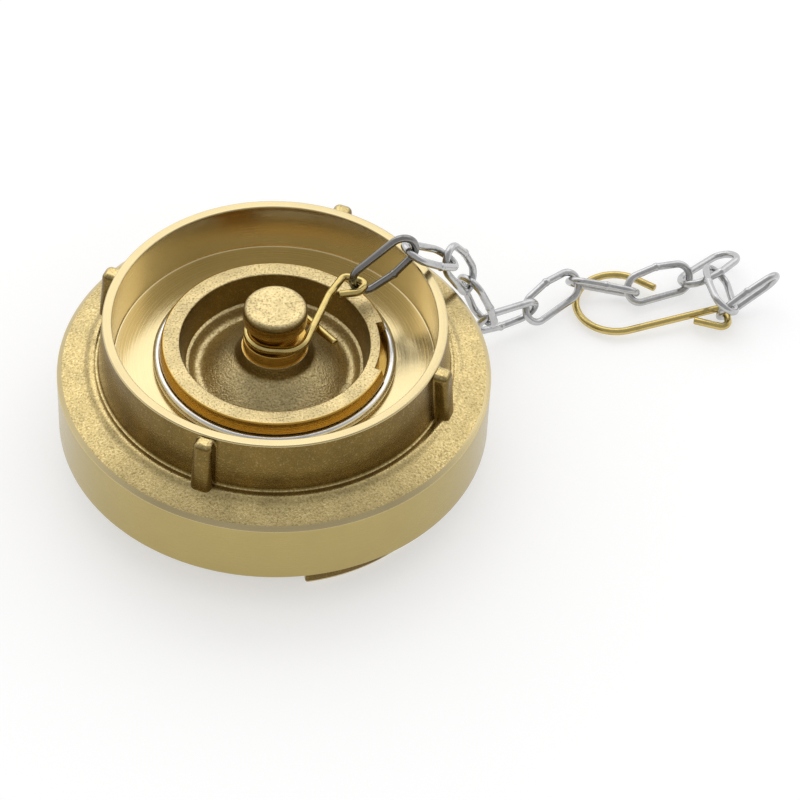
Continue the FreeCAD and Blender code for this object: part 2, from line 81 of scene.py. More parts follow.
# Coupling ring: radii, and heights over the mating plane, in mm. Corners past FLANGE_FROM move with
# the flange's radius
FLANGE_R = 41.0
FLANGE_FROM = 39.0
SIDE_TOP = 12.9
LEDGE_R = 31.0
LEDGE_H = 4.9
CHANNEL_R = 36.6
WEB_LOW = 11.3
WEB_TOP = 15.8
WEB_BORE_R = 21.9
BORE_R = 30.4
RIM_R = 32.2
RIM_TOP = 26.3
COLLAR_FOOT_R = 33.2
COLLAR_FOOT = 15.3
# Corners of its section: radius, height, rounding and the finish from there on
RING_CORNERS = [
    (WEB_BORE_R, WEB_LOW, 0.1, TURNED),
    (WEB_BORE_R, WEB_TOP, 0.25, FACED),
    (BORE_R, WEB_TOP, 0.35, TURNED),
    (BORE_R, RIM_TOP, 0.25, TURNED),
    (RIM_R, RIM_TOP, 0.3, CAST),
    (COLLAR_FOOT_R, COLLAR_FOOT, 0.5, CAST),
    (34.5, 15.65, 1.5, CAST),
    (35.8, 14.85, 3.5, CAST),
    (40.1, 13.5, 0.15, TURNED),
    (FLANGE_R, SIDE_TOP, 0.15, SIDE),
    (FLANGE_R, 0.4, 0.1, SIDE),
    (40.6, 0.0, 0.1, TURNED),
    (LEDGE_R, 0.0, 0.4, TURNED),
    (LEDGE_R, LEDGE_H, 0.4, TURNED),
    (CHANNEL_R, LEDGE_H, 0.05, TURNED),
    (CHANNEL_R, WEB_LOW, 1.0, TURNED),
]
# The same for the plug, from its front to the top of the knob
HUB_R = 18.6
HUB_GROOVE_R = 17.6
PLUG_R = 21.8
SNAP_GROOVE_R = 21.0
SNAP_GROOVE_EDGE = 0.05
PLUG_RIM = 20.4
SLOT_R = 19.7
KNOB_R = 6.0
KNOB_GROOVE_R = 4.4
KNOB_TOP = 29.8
PLUG_CORNERS = [
    (0.0, 6.0, 0, CAST),
    (14.5, 6.0, 2.5, CAST),
    (14.5, 0.0, 0.4, TURNED),
    (HUB_R, 0.0, 0.4, TURNED),
    (HUB_R, 2.2, 0.05, TURNED),
    (HUB_GROOVE_R, 2.2, 0.1, TURNED),
    (HUB_GROOVE_R, 4.6, 0.1, TURNED),
    (HUB_R, 4.6, 0.05, TURNED),
    (HUB_R, 5.0, 0.1, TURNED),
    (25.3, 5.0, 0.4, TURNED),
    (25.3, 11.2, 0.4, TURNED),
    (PLUG_R, 11.2, 0.1, TURNED),
    (PLUG_R, WEB_TOP, SNAP_GROOVE_EDGE, TURNED),
    (SNAP_GROOVE_R, WEB_TOP, 0.1, TURNED),
    (SNAP_GROOVE_R, 17.9, 0.1, TURNED),
    (PLUG_R, 17.9, 0.3, TURNED),
    (21.2, PLUG_RIM, 0.35, CAST),
    (SLOT_R, PLUG_RIM, 0, CAST),
    (17.9, PLUG_RIM, 0.4, CAST),
    (16.8, 14.8, 0.3, CAST),
    (16.2, 14.55, 0.4, CAST),
    (14.6, 12.4, 1.3, CAST),
    (7.4, 17.3, 2.5, CAST),
    (6.28, 19.45, 0.1, TURNED),
    (KNOB_R, 19.45, 0.05, TURNED),
    (KNOB_R, 22.0, 0.25, TURNED),
    (KNOB_GROOVE_R, 22.0, 0.1, TURNED),
    (KNOB_GROOVE_R, 26.1, 0.1, TURNED),
    (KNOB_R, 26.1, 0.25, TURNED),
    (KNOB_R, 28.5, 0, CAST),
    (KNOB_R, KNOB_TOP, 1.2, CAST),
    (0.0, KNOB_TOP, 0, CAST),
]
# The seal ring's section; it has one finish
SEAL_CORNERS = [corner + (0,) for corner in [
    (18.7, 0.3, 0.1), (20.4, 0.3, 0.3), (20.9, -0.8, 0.5), (22.9, -0.8, 0.5),
    (23.4, 0.3, 0.3), (25.0, 0.3, 0.5), (25.0, 4.9, 0.5), (18.7, 4.9, 0.1),
    (18.7, 4.5, 0.1), (17.7, 4.5, 0.5), (17.7, 2.3, 0.5), (18.7, 2.3, 0.1),
]]
# A claw's section, from its inner tip, and the rounding of its ends
CLAW_R = 26.0
CLAW_ROOT_R = 31.3
CLAW_TOE_R = 35.2
CLAW_CORNERS = [
    (CLAW_R, -8.9, 0.8, TURNED),
    (CLAW_TOE_R, -8.9, 0.8, CAST),
    (CLAW_TOE_R, -4.8, 0.8, CAST),
    (CLAW_ROOT_R, -4.8, 0.8, CAST),
    (CLAW_ROOT_R, 12.4, 0.2, TURNED),
    (CLAW_R, 12.4, 0.2, TURNED),
]
CLAW_EDGE = 0.5
# Directions and widths round Z in degrees, the ledge's rise in mm and the share of its reach that is
# left at an entry
CLAW_AZ = 122.5
CLAW_SPAN = 44.0
ENTRY_SPAN = 48.0
RAMP_SPAN = 87.0
LEDGE_RISE = 0.9
ENTRY_REACH = 1 / 7
LUG_AZ = 68.0
SLOT_FROM = -19.5
SLOT_TO = 15.7
SNAP_GAP_AZ = 100.0
SNAP_GAP = 10.0
# Snap ring: radius and height of its wire's centre
SNAP_R = 22.0
SNAP_Z = 16.8
# Wrench lug: heights of its foot and top, where its straight part ends, how much it narrows and leans
# to its top, its roundings, how deep its root sinks in the collar and where its hidden face lies
LUG_FOOT = SIDE_TOP
LUG_TOP = 25.8
LUG_STRAIGHT = 24.0
LUG_NARROW = 0.4
LUG_LEAN = 0.9
LUG_EDGE = 1.2
LUG_LEAST_EDGE = 0.05
LUG_ROOT = 0.5
LUG_SINK = 0.06
LUG_INNER_R = 31.2

# Knob's hook: the sides of its turn in the groove by direction and distance from the axis, the heights
# of the corners between them, the points of its eye, its tail's end and the rounding at each corner
TURN_SIDES = [(-20.0, 6.5), (-95.0, 5.35), (-180.0, 5.25), (-265.0, 5.25), (-322.0, 6.9)]
TURN_HEIGHTS = [23.6, 23.3, 23.0, 22.85]
HOOK_START = [(11.9, 8.5, 24.6), (15.6, 9.2, 24.6), (17.4, 11.7, 24.6), (12.9, 13.7, 24.6),
              (10.0, 8.5, 24.4)]
HOOK_TAIL = (11.3, -1.8, 22.0)
HOOK_RADII = [1.3, 1.2, 1.3, 6.0, 4.2, 5.2, 5.2, 5.0]
# How each link lies: heading, dip and turn in degrees
LINK_LIE = [
    (23, -34, -98), (39, 38, -176), (42, 59, 64), (20, 70, 156), (34, 11, -75), (42, -4, 57),
    (-1, 12, 129), (23, 1, 57), (42, 3, 155), (-85, -11, 141), (28, -23, 112),
]
# Where each link touches: how far from the middle of its crown the wire that it hangs on is met, and
# how far from the middle of the link's own crown
LINK_TOUCH = [
    (1.2, -1.3), (2.1, -0.1), (-0.9, -0.5), (0.1, 0.2), (0.4, 1.7), (2.1, 0.9),
    (0.3, 1.2), (1.7, 0.4), (-2.1, 1.8), (8.0, 1.1), (-2.4, -4.1),
]
# End hook: how it lies and touches, then in its own plane its bend's centre, radius and span, the
# corners of its eye, its tail's end and their roundings, and the length of its straight tip
END_LIE = (-163, 3, 180)
END_TOUCH = (1.0, -1.6)
END_CENTRE = (18.5, 10.3)
END_BEND_R = 8.0
END_BEND_SPAN = 232.0
END_CORNERS = [(-2.3, 2.3), (-0.6, -3.6)]
END_TAIL = (5.2, 0.7)
END_RADII = [1.4, 1.4]
END_TIP_L = 4.5
# Play between two wires that hang in each other, the angle by which a link's welded arm leans out to its
# weld, and the radius of the weld's bead, which is a ball
WIRE_PLAY = 0.12
LINK_LEAN = 7.0
WELD_BEAD_R = 0.88

# Camera: place in m, then degrees below the horizontal, away from +Y and rolled, and its lens in mm
CAMERA_PLACE = (0.0, -0.450859, 0.480861)
CAMERA_DOWN = 46.507
CAMERA_ASIDE = 3.052
CAMERA_ROLL = 3.124
CAMERA_FOCAL = 154.56
# Lamps: name, place in m, diameter in m and power in W
LAMPS = [
    ("soft_box", (-0.35, 0.95, 1.0), 1.3, 2.5),
    ("fill", (0.85, 0.9, 0.95), 1.2, 1.7),
    ("top_light", (0.0, 0.45, 1.15), 0.5, 0.4),
]
# World: the direction in which reflections find it brightest, the span along it in which its level
# rises and the levels there, and the level of soft light
WORLD_BRIGHT = (0.0, 0.86, -0.5)
WORLD_SPAN = (-0.6, 0.15)
WORLD_LEVELS = (0.48, 1.0)
WORLD_SOFT = 0.82
# Floor: reach in m, its grey where it is seen directly, and how much it glows there
FLOOR_REACH = 3.0
FLOOR_SEEN = 0.6
FLOOR_GLOW = 0.45

# What each finish's node group puts out
SKIN_OUTPUTS = {"Color": "NodeSocketColor", "Roughness": "NodeSocketFloat", "Height": "NodeSocketFloat"}

# What every length and every colour that a user may change has in common
LENGTH = {"unit": "LENGTH", "subtype": "DISTANCE"}
COLOUR = {"subtype": "COLOR", "size": 3, "min": 0, "max": 1}


class CapSizes(bpy.types.PropertyGroup):
    """Sizes of the cap's castings that a user may change"""
    flange_radius: FloatProperty(name="Flange radius", description="Outer radius of the flange",
                                 default=FLANGE_R * MM, min=38 * MM, **LENGTH)
    lug_reach: FloatProperty(name="Lug reach", description="Distance of a wrench lug's foot from the axis",
                             default=35.8 * MM, **LENGTH)
    lug_width: FloatProperty(name="Lug width", description="Width of a wrench lug at its foot",
                             default=4.4 * MM, **LENGTH)
    lug_count: IntProperty(name="Lugs", description="Number of wrench lugs", default=4, min=2)
    turn_steps: IntProperty(name="Steps round", description="Grid steps in a turn", default=384, min=48)


class WireSizes(bpy.types.PropertyGroup):
    """Sizes of the wire pieces that a user may change"""
    hook_wire: FloatProperty(name="Hook wire", description="Diameter of the brass wire",
                             default=1.5 * MM, **LENGTH)
    chain_wire: FloatProperty(name="Chain wire", description="Diameter of the chain's wire",
                              default=1.5 * MM, **LENGTH)
    snap_wire: FloatProperty(name="Snap ring wire", description="Diameter of the snap ring's wire",
                             default=1.9 * MM, **LENGTH)
    link_length: FloatProperty(name="Link length", description="Length of a link over all",
                               default=15.5 * MM, **LENGTH)
    crown_radius: FloatProperty(name="Crown radius", description="Radius of a crown to its wire's centre",
                                default=2.9 * MM, **LENGTH)
    wire_sides: IntProperty(name="Wire sides", description="Grid steps round a wire", default=24, min=8)


class CapColours(bpy.types.PropertyGroup):
    """Colours of the cap's finishes"""
    cast: FloatVectorProperty(name="Cast brass", description="Sand-cast skin",
                              default=(0.58, 0.45, 0.20), **COLOUR)
    turned: FloatVectorProperty(name="Turned brass", description="Freshly turned brass",
                                default=(0.62, 0.51, 0.28), **COLOUR)
    # Painted shade: a darkened copy of the turned brass, for the flange's turned side.
    side: FloatVectorProperty(name="Flange side", description="Turned brass, darkened as painted shade",
                              default=(0.45, 0.355, 0.14), **COLOUR)
    # Painted shade: dark brass that the cast skins mix in on steep faces, and that the plug's turned faces
    # take made 3.2 times lighter.
    wall: FloatVectorProperty(name="Steep walls", description="Painted shade on steep faces",
                              default=(0.18, 0.115, 0.028), **COLOUR)
    bronze: FloatVectorProperty(name="Plug brass", description="Warmer brass of the plug",
                                default=(0.68, 0.54, 0.27), **COLOUR)
    wire: FloatVectorProperty(name="Brass wire", description="Drawn brass wire",
                              default=(0.62, 0.48, 0.18), **COLOUR)
    zinc: FloatVectorProperty(name="Zinc", description="Zinc plating of the chain",
                              default=(0.54, 0.54, 0.54), **COLOUR)
    steel: FloatVectorProperty(name="Bright steel", description="Snap ring and polished wire",
                               default=(0.66, 0.65, 0.63), **COLOUR)
    rubber: FloatVectorProperty(name="Rubber", description="Seal ring",
                                default=(0.018, 0.018, 0.019), **COLOUR)
    floor: FloatVectorProperty(name="Floor", description="Studio floor",
                               default=(0.86, 0.86, 0.86), **COLOUR)


# Shapes


def rounded_line(points, radii, closed=False, step=0.35):
    """Line through the points (n by 2 or 3) with an arc of its radius at each corner. A corner's arc
    starts and ends radius / tan(half angle) from it. Also gives, for each point of the line, the
    number of the corner that its stretch leaves."""
    points = np.asarray(points, float)
    count = len(points)
    out = []
    owner = []
    for k in range(count):
        corner = points[k]
        radius = radii[k]
        if radius <= 0 or (not closed and k in (0, count - 1)):
            out.append(corner[None])
            owner.append([k])
            continue
        back = points[k - 1] - corner
        ahead = points[(k + 1) % count] - corner
        back /= np.linalg.norm(back)
        ahead /= np.linalg.norm(ahead)
        half = math.acos(np.clip(back @ ahead, -1, 1)) / 2
        reach = radius / math.tan(half)
        start = corner + back * reach
        centre = corner + (back + ahead) / np.linalg.norm(back + ahead) * radius / math.sin(half)
        across = (start - centre) / radius
        turn = math.pi - 2 * half
        steps = max(2, math.ceil(turn * radius / step), math.ceil(turn / ARC_TURN))
        angle = np.linspace(0, turn, steps + 1)[:, None]
        out.append(centre + radius * (np.cos(angle) * across - np.sin(angle) * back))
        owner.append([k - 1 if k else count - 1] * steps + [k])
    return np.concatenate(out), np.concatenate([np.asarray(o) for o in owner])


def divided(line, owner, step, closed):
    """The line with every stretch longer than the step cut into equal parts."""
    after = np.roll(line, -1, 0) if closed else line[1:]
    before = line if closed else line[:-1]
    length = np.linalg.norm(after - before, axis=1)
    parts = np.maximum(1, np.ceil(length / step).astype(int))
    index = np.repeat(np.arange(len(before)), parts)
    first = np.concatenate([[0], np.cumsum(parts)[:-1]])
    share = (np.arange(len(index)) - first[index]) / parts[index]
    points = before[index] + (after - before)[index] * share[:, None]
    zones = owner[index]
    if not closed:
        points = np.concatenate([points, line[-1:]])
        zones = np.concatenate([zones, owner[-1:]])
    return points, zones


def section_line(corners, closed, step=1.2):
    """Points (radius, height) and finish of a turned section from its corners."""
    line, owner = rounded_line([c[:2] for c in corners], [c[2] for c in corners], closed)
    line, owner = divided(line, owner, step, closed)
    finish = np.array([c[3] for c in corners])
    return line, finish[owner]


def grid_faces(rows, columns, row_loop, column_loop):
    """Quads of a grid whose point (i, j) has the number i * columns + j."""
    i = np.arange(rows if row_loop else rows - 1)
    j = np.arange(columns if column_loop else columns - 1)
    i, j = np.meshgrid(i, j, indexing="ij")
    i2 = (i + 1) % rows
    j2 = (j + 1) % columns
    quads = np.stack([i * columns + j, i2 * columns + j, i2 * columns + j2, i * columns + j2], -1)
    return quads.reshape(-1, 4)


def end_fans(rows, columns):
    """Triangles that close the first and the last row of a grid round two points that follow its own."""
    j = np.arange(columns)
    j2 = (j + 1) % columns
    last = (rows - 1) * columns
    low = rows * columns
    return np.concatenate([np.stack([np.full(columns, low), j, j2], -1),
                           np.stack([np.full(columns, low + 1), last + j2, last + j], -1)])


def turned_surface(line, finish, angles, closed, shape=None):
    """Section points (r, z) carried round Z: x = r cos a, y = r sin a. shape(r, z, a) may change r and
    z over the grid. An open section has its two ends on the axis, where a single point closes it."""
    r = np.repeat(line[:, 0:1], len(angles), 1)
    z = np.repeat(line[:, 1:2], len(angles), 1)
    a = np.repeat(angles[None], len(line), 0)
    if shape is not None:
        r, z = shape(r, z, a)
    points = np.stack([r * np.cos(a), r * np.sin(a), z], -1)
    columns = len(angles)
    zones = np.repeat(finish, columns).reshape(len(line), columns)
    if closed:
        return points.reshape(-1, 3), [grid_faces(len(line), columns, True, True)], zones.reshape(-1)
    rows = len(line) - 2
    points = np.concatenate([points[1:-1].reshape(-1, 3), points[0, :1], points[-1, :1]])
    zones = np.concatenate([zones[1:-2].reshape(-1), zones[0], zones[-2]])
    return points, [grid_faces(rows, columns, False, True), end_fans(rows, columns)], zones


def merged_shells(shells):
    """One set of points, faces and finishes from several closed shells."""
    starts = np.cumsum([0] + [len(points) for points, faces, zone in shells])
    return (np.concatenate([points for points, faces, zone in shells]),
            [face + start for start, (points, faces, zone) in zip(starts, shells) for face in faces],
            np.concatenate([zone for points, faces, zone in shells]))


def volume(points, faces):
    """Signed volume inside closed faces: one sixth of the sum of each triangle's triple product."""
    total = 0.0
    for face in faces:
        for k in range(1, face.shape[1] - 1):
            a, b, c = points[face[:, 0]], points[face[:, k]], points[face[:, k + 1]]
            total += np.einsum("ij,ij->i", a, np.cross(b, c)).sum() / 6
    return total


def new_piece(name, shells, materials, node, body):
    """Object from closed shells in mm, that stands for a node and rides on its body."""
    shells = [(points, faces if volume(points, faces) > 0 else [f[:, ::-1] for f in faces], zone)
              for points, faces, zone in shells]
    points, faces, zone = merged_shells(shells)
    mesh = bpy.data.meshes.new(name)
    mesh.vertices.add(len(points))
    mesh.vertices.foreach_set("co", (points * MM).astype(np.float32).ravel())
    loops = np.concatenate([face.ravel() for face in faces])
    sizes = np.concatenate([np.full(len(face), face.shape[1]) for face in faces])
    starts = np.concatenate([[0], np.cumsum(sizes)[:-1]])
    mesh.loops.add(len(loops))
    mesh.loops.foreach_set("vertex_index", loops.astype(np.int32))
    mesh.polygons.add(len(sizes))
    mesh.polygons.foreach_set("loop_start", starts.astype(np.int32))
    mesh.polygons.foreach_set("material_index", zone.astype(np.int32))
    mesh.polygons.foreach_set("use_smooth", np.ones(len(sizes), bool))
    mesh.update(calc_edges=True)
    if mesh.validate():
        raise RuntimeError(name + " has faces that are not valid")
    mesh.set_sharp_from_angle(angle=math.radians(SHARP_ANGLE))
    for material in materials:
        mesh.materials.append(material)
    piece = bpy.data.objects.new(name, mesh)
    bpy.context.scene.collection.objects.link(piece)
    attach(piece, body)
    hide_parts(node)
    return piece


def frames_along(line, closed):
    """Tangent, side and upper directions at each point of a line that never runs straight up."""
    ahead = np.roll(line, -1, 0) - np.roll(line, 1, 0)
    if not closed:
        ahead[0] = line[1] - line[0]
        ahead[-1] = line[-1] - line[-2]
    tangent = ahead / np.linalg.norm(ahead, axis=1)[:, None]
    upper = UP - tangent * (tangent @ UP)[:, None]
    upper /= np.linalg.norm(upper, axis=1)[:, None]
    return tangent, np.cross(upper, tangent), upper


def wire_surface(line, radius, sides, closed, edge=0.25):
    """Circle of the radius at each point carried along the line: p + r (cos b side + sin b upper). The
    ends of an open wire are flat cuts, where r shrinks by e (1 - cos t) as the point nears the end by
    e (1 - sin t)."""
    tangent, side, upper = frames_along(line, closed)
    radius = np.broadcast_to(np.asarray(radius, float), (len(line),))
    if not closed:
        turn = np.linspace(math.pi / 2, 0, 5)
        short = edge * (1 - np.sin(turn))[:, None]
        less = edge * (1 - np.cos(turn))
        start = line[0] + tangent[0] * short
        end = line[-1] - tangent[-1] * short[::-1]
        line = np.concatenate([start, line[1:-1], end])
        radius = np.concatenate([radius[0] - less, radius[1:-1], radius[-1] - less[::-1]])
        ends = len(turn)
        side, upper = (np.concatenate([np.repeat(d[:1], ends, 0), d[1:-1], np.repeat(d[-1:], ends, 0)])
                       for d in (side, upper))
    angle = np.linspace(0, TURN, sides, endpoint=False)
    around = np.cos(angle)[None, :, None] * side[:, None] + np.sin(angle)[None, :, None] * upper[:, None]
    points = (line[:, None] + radius[:, None, None] * around).reshape(-1, 3)
    quads = grid_faces(len(line), sides, closed, True)
    if closed:
        return points, [quads], np.zeros(len(quads), int)
    fans = end_fans(len(line), sides)
    points = np.concatenate([points, line[:1], line[-1:]])
    return points, [quads, fans], np.zeros(len(quads) + len(fans), int)


def turn_angles(steps, cuts=()):
    """Angles of a full turn in equal steps, with a close pair of angles at each cut, in degrees."""
    even = np.linspace(0, TURN, steps, endpoint=False)
    if not len(cuts):
        return even
    clear, close = 3e-3, 2e-4
    cuts = np.radians(cuts) % TURN
    away = np.abs((even[:, None] - cuts[None] + math.pi) % TURN - math.pi).min(1)
    return np.sort(np.concatenate([even[away > clear], (cuts - close) % TURN, (cuts + close) % TURN]))


def ledge_shape(r, z, a):
    """Ledge along the skirt's mouth: its reach inwards is whole over each gripping span and a small
    share over the entries, and its top rises with the angle as the ramp does."""
    margin = 0.05
    travel = (np.degrees(a) - (CLAW_AZ + CLAW_SPAN / 2 + ENTRY_SPAN)) % 180
    gripping = travel < 180 - ENTRY_SPAN
    low = (z < LEDGE_H + margin) & (r < CHANNEL_R)
    reach = np.where(gripping, 1.0, ENTRY_REACH)
    top = np.where(gripping, LEDGE_H - LEDGE_RISE * np.clip(1 - travel / RAMP_SPAN, 0, 1), LEDGE_H)
    return np.where(low, CHANNEL_R - (CHANNEL_R - r) * reach, r), np.where(low, z * top / LEDGE_H, z)


def nearest(line, point):
    """Number of the line's point that lies nearest to a point."""
    return np.linalg.norm(line - point, axis=1).argmin()


def slot_shape(line):
    """Shape of the key slot in the plug's rim: over the slot's span the stretch of the section from
    the groove's foot to the rim is replaced by the slot's floor and wall, point by point."""
    first = nearest(line, (PLUG_R - SNAP_GROOVE_EDGE, WEB_TOP))
    last = nearest(line, (SLOT_R, PLUG_RIM))
    start, end = line[first], line[last]
    count = last - first
    floor_steps = max(2, round(count * (start[0] - SLOT_R) / (start[0] - SLOT_R + end[1] - start[1])))
    share = np.arange(count + 1)
    new = line.copy()
    new[first:last + 1, 0] = np.interp(share, [0, floor_steps], [start[0], SLOT_R])
    new[first:last + 1, 1] = np.interp(share, [floor_steps, count], [start[1], end[1]])

    def shape(r, z, a):
        turn = (np.degrees(a) - SLOT_FROM) % 360
        inside = turn < SLOT_TO - SLOT_FROM
        return np.where(inside, new[:, 0:1], r), np.where(inside, new[:, 1:2], z)

    return shape


def claw_shell(azimuth):
    """Claw's section turned over its span. Near each end the section shrinks inwards by
    e (1 - cos t) while its points stop e (1 - sin t) short of the end, which rounds the end's edges."""
    steps, margin = 60, 0.04
    line, finish = section_line(CLAW_CORNERS, True, step=1.5)
    ahead = np.roll(line, -1, 0) - np.roll(line, 1, 0)
    inward = np.stack([-ahead[:, 1], ahead[:, 0]], -1) / np.linalg.norm(ahead, axis=1)[:, None]
    turn = np.linspace(math.pi / 2, 0, 6)
    less = CLAW_EDGE * (1 - np.cos(turn))
    short = CLAW_EDGE * (1 - np.sin(turn))
    start = math.radians(azimuth - CLAW_SPAN / 2)
    end = math.radians(azimuth + CLAW_SPAN / 2)
    middle = np.linspace(start + margin, end - margin, steps)
    inset = np.concatenate([less, np.zeros(steps), less[::-1]])
    shift = np.concatenate([short, np.zeros(steps), -short[::-1]])
    angle = np.concatenate([np.full(len(turn), start), middle, np.full(len(turn), end)])
    r = line[:, 0:1] + inward[:, 0:1] * inset
    z = line[:, 1:2] + inward[:, 1:2] * inset
    a = angle + shift / r
    points = np.stack([r * np.cos(a), r * np.sin(a), z], -1).reshape(-1, 3)
    rows, columns = len(line), len(angle)
    quads = grid_faces(rows, columns, True, False)
    side = np.arange(rows) * columns
    caps = np.stack([side[::-1], side + columns - 1])
    zones = np.concatenate([np.repeat(finish, columns - 1), [TURNED, TURNED]])
    return points, [quads, caps], zones


def lug_shell(azimuth, reach, width):
    """Wrench lug as outlines stacked over its height. Each outline runs out of the collar through a
    small root fillet, along one side, round the head and back. Half the width and the reach shrink
    evenly to the top, and over the rounded top by e (1 - cos t)."""
    turn = np.linspace(0, math.pi / 2, 7)
    straight = np.linspace(LUG_FOOT, LUG_STRAIGHT, 12)
    z = np.concatenate([straight, LUG_TOP - LUG_EDGE + LUG_EDGE * np.sin(turn)])
    inset = np.concatenate([np.zeros(len(straight)), LUG_EDGE * (1 - np.cos(turn))])
    share = (z - LUG_FOOT) / (LUG_TOP - LUG_FOOT)
    half = width / 2 - LUG_NARROW * share - inset
    out = reach - LUG_LEAN * share - inset
    corner = np.maximum(LUG_EDGE - inset, LUG_LEAST_EDGE)
    foot = half + LUG_ROOT
    wall = np.interp(z, [COLLAR_FOOT, RIM_TOP], [COLLAR_FOOT_R, RIM_R])
    wall = np.sqrt(wall ** 2 - foot ** 2) - LUG_SINK
    arc = np.linspace(0, math.pi / 2, 6)[:, None]
    root_x = wall + LUG_ROOT * (1 - np.cos(arc))
    root_y = half + LUG_ROOT * (1 - np.sin(arc))
    head_x = out - corner * (1 - np.sin(arc))
    head_y = half - corner * (1 - np.cos(arc))
    inner = np.full((1, len(z)), LUG_INNER_R)
    x = np.concatenate([inner, root_x, head_x, head_x[::-1], root_x[::-1], inner])
    y = np.concatenate([-foot[None], -root_y, -head_y, head_y[::-1], root_y[::-1], foot[None]])
    a = math.radians(azimuth)
    points = np.stack([x * math.cos(a) - y * math.sin(a), x * math.sin(a) + y * math.cos(a),
                       np.broadcast_to(z, x.shape)], -1).transpose(1, 0, 2).reshape(-1, 3)
    rows, columns = len(z), len(x)
    quads = grid_faces(rows, columns, False, True)
    around = np.arange(columns)
    caps = np.stack([around, around[::-1] + (rows - 1) * columns])
    return points, [quads, caps], np.full(len(quads) + 2, CAST)


def crossing(first, second):
    """Point in plan where two sides of the hook's turn meet: cos a x + sin a y = d for both."""
    rows = np.array([[math.cos(math.radians(a)), math.sin(math.radians(a))] for a, d in (first, second)])
    return np.linalg.solve(rows, np.array([first[1], second[1]]))


def knob_hook_line(step):
    """Centre line of the hook on the knob, from its eye's end round the groove to its tail, and the
    middle of its eye."""
    points = [np.array(p, float) for p in HOOK_START]
    for k, height in enumerate(TURN_HEIGHTS):
        points.append(np.append(crossing(TURN_SIDES[k], TURN_SIDES[k + 1]), height))
    points.append(np.array(HOOK_TAIL, float))
    line, owner = rounded_line(points, [0] + HOOK_RADII + [0], step=step)
    return divided(line, owner, step, False)[0], (points[1] + points[2]) / 2


def arc_points(centre, radius, start, end, step):
    """Points of an arc in its plane: centre + radius (cos a, sin a), the angles in degrees."""
    steps = max(2, math.ceil(abs(math.radians(end - start)) * radius / step))
    angle = np.radians(np.linspace(start, end, steps + 1))
    return np.stack([centre[0] + radius * np.cos(angle), centre[1] + radius * np.sin(angle),
                     np.zeros(steps + 1)], -1)


def link_line(length, crown, wire, step):
    """Closed centre line of a link: plain arm, right crown, welded arm that leans out towards its weld,
    left crown. Also gives how far along it the weld is."""
    half = length / 2 - wire / 2 - crown
    right = arc_points((half, 0), crown, -90, 90 - LINK_LEAN, step)
    left = arc_points((-half, 0), crown, 90 + LINK_LEAN, 270, step)
    weld = np.array([0, right[-1, 1] + right[-1, 0] * math.tan(math.radians(LINK_LEAN)), 0])
    corners = np.concatenate([right, weld[None], left])
    line = divided(corners, np.zeros(len(corners), int), step, True)[0]
    line = np.roll(line, -nearest(line, left[-1]), 0)
    return line, cumulative(line)[nearest(line, weld)]


def end_hook_line(step):
    """Centre line of the end hook in its own plane, from its tip round the bend to its eye, and the
    middle of its eye."""
    bend = arc_points(END_CENTRE, END_BEND_R, END_BEND_SPAN - 90, -90, step)
    turn = math.radians(END_BEND_SPAN - 90)
    tip = bend[0] + np.array([-math.sin(turn), math.cos(turn), 0]) * END_TIP_L
    corners = [np.array(c + (0,), float) for c in END_CORNERS]
    points = [bend[-1]] + corners + [np.array(END_TAIL + (0,), float)]
    eye, owner = rounded_line(points, [0] + END_RADII + [0], step=step)
    line = np.concatenate([tip[None], bend, eye[1:]])
    return divided(line, np.zeros(len(line), int), step, False)[0], (corners[0] + corners[1]) / 2


def cumulative(line):
    """Distance along a line to each of its points."""
    return np.concatenate([[0], np.cumsum(np.linalg.norm(line[1:] - line[:-1], axis=1))])


def along(line, distance, closed):
    """Point and direction of travel at a distance along a line."""
    if closed:
        line = np.concatenate([line, line[:1]])
    lengths = cumulative(line)

    def at(place):
        if closed:
            place = place % lengths[-1]
        return np.array([np.interp(place, lengths, line[:, k]) for k in range(3)])

    near = 0.02
    ahead = at(distance + near) - at(distance - near)
    return at(distance), ahead / np.linalg.norm(ahead)


def turn_matrix(heading, dip, turn):
    """Turn about X, then about Y, then about Z, in degrees: Rz(heading) Ry(dip) Rx(turn)."""
    about_z = Matrix.Rotation(math.radians(heading), 3, "Z")
    about_y = Matrix.Rotation(math.radians(dip), 3, "Y")
    return np.array(about_z @ about_y @ Matrix.Rotation(math.radians(turn), 3, "X"))


def hung(carrier, own, lie, gap):
    """Turn and shift of a wire piece that hangs in another: the two wires cross at the seats, the gap
    apart from centre to centre along the common normal, each on the inner side of the other."""
    point, tangent, inward = carrier
    own_point, own_tangent = own
    turn = turn_matrix(*lie)
    across = np.cross(tangent, turn @ own_tangent)
    across /= np.linalg.norm(across)
    if across @ inward < 0:
        across = -across
    return turn, point + across * gap - turn @ own_point


def chain_lie(link, gap_hook, gap_chain):
    """How the chain lies: turn and shift of each link and of the end hook, from the knob's hook on."""
    hook, hook_middle = knob_hook_line(FINE_STEP)
    total = cumulative(np.concatenate([link, link[:1]]))[-1]
    half = -link[0, 0]
    quarter = (link[:, 0].max() - half) * math.pi / 2
    outer, inner = 2 * half + quarter, total - quarter
    seat = cumulative(hook)[nearest(hook, hook_middle)] + LINK_TOUCH[0][0]
    point, tangent = along(hook, seat, False)
    carrier = (point, tangent, np.cross(UP, tangent))
    places = []
    gap = gap_hook
    seats = [outer + there for there, here in LINK_TOUCH[1:]] + [inner + END_TOUCH[0]]
    for lie, (there, here), seat in zip(LINK_LIE, LINK_TOUCH, seats):
        turned, shift = hung(carrier, along(link, inner + here, True), lie, gap)
        places.append((turned, shift))
        point, tangent = along(link, seat, True)
        carrier = (turned @ point + shift, turned @ tangent, turned @ np.cross(UP, tangent))
        gap = gap_chain
    end, end_middle = end_hook_line(FINE_STEP)
    own = cumulative(end)[nearest(end, end_middle)] + END_TOUCH[1]
    places.append(hung(carrier, along(end, own, False), END_LIE, gap_hook))
    return places


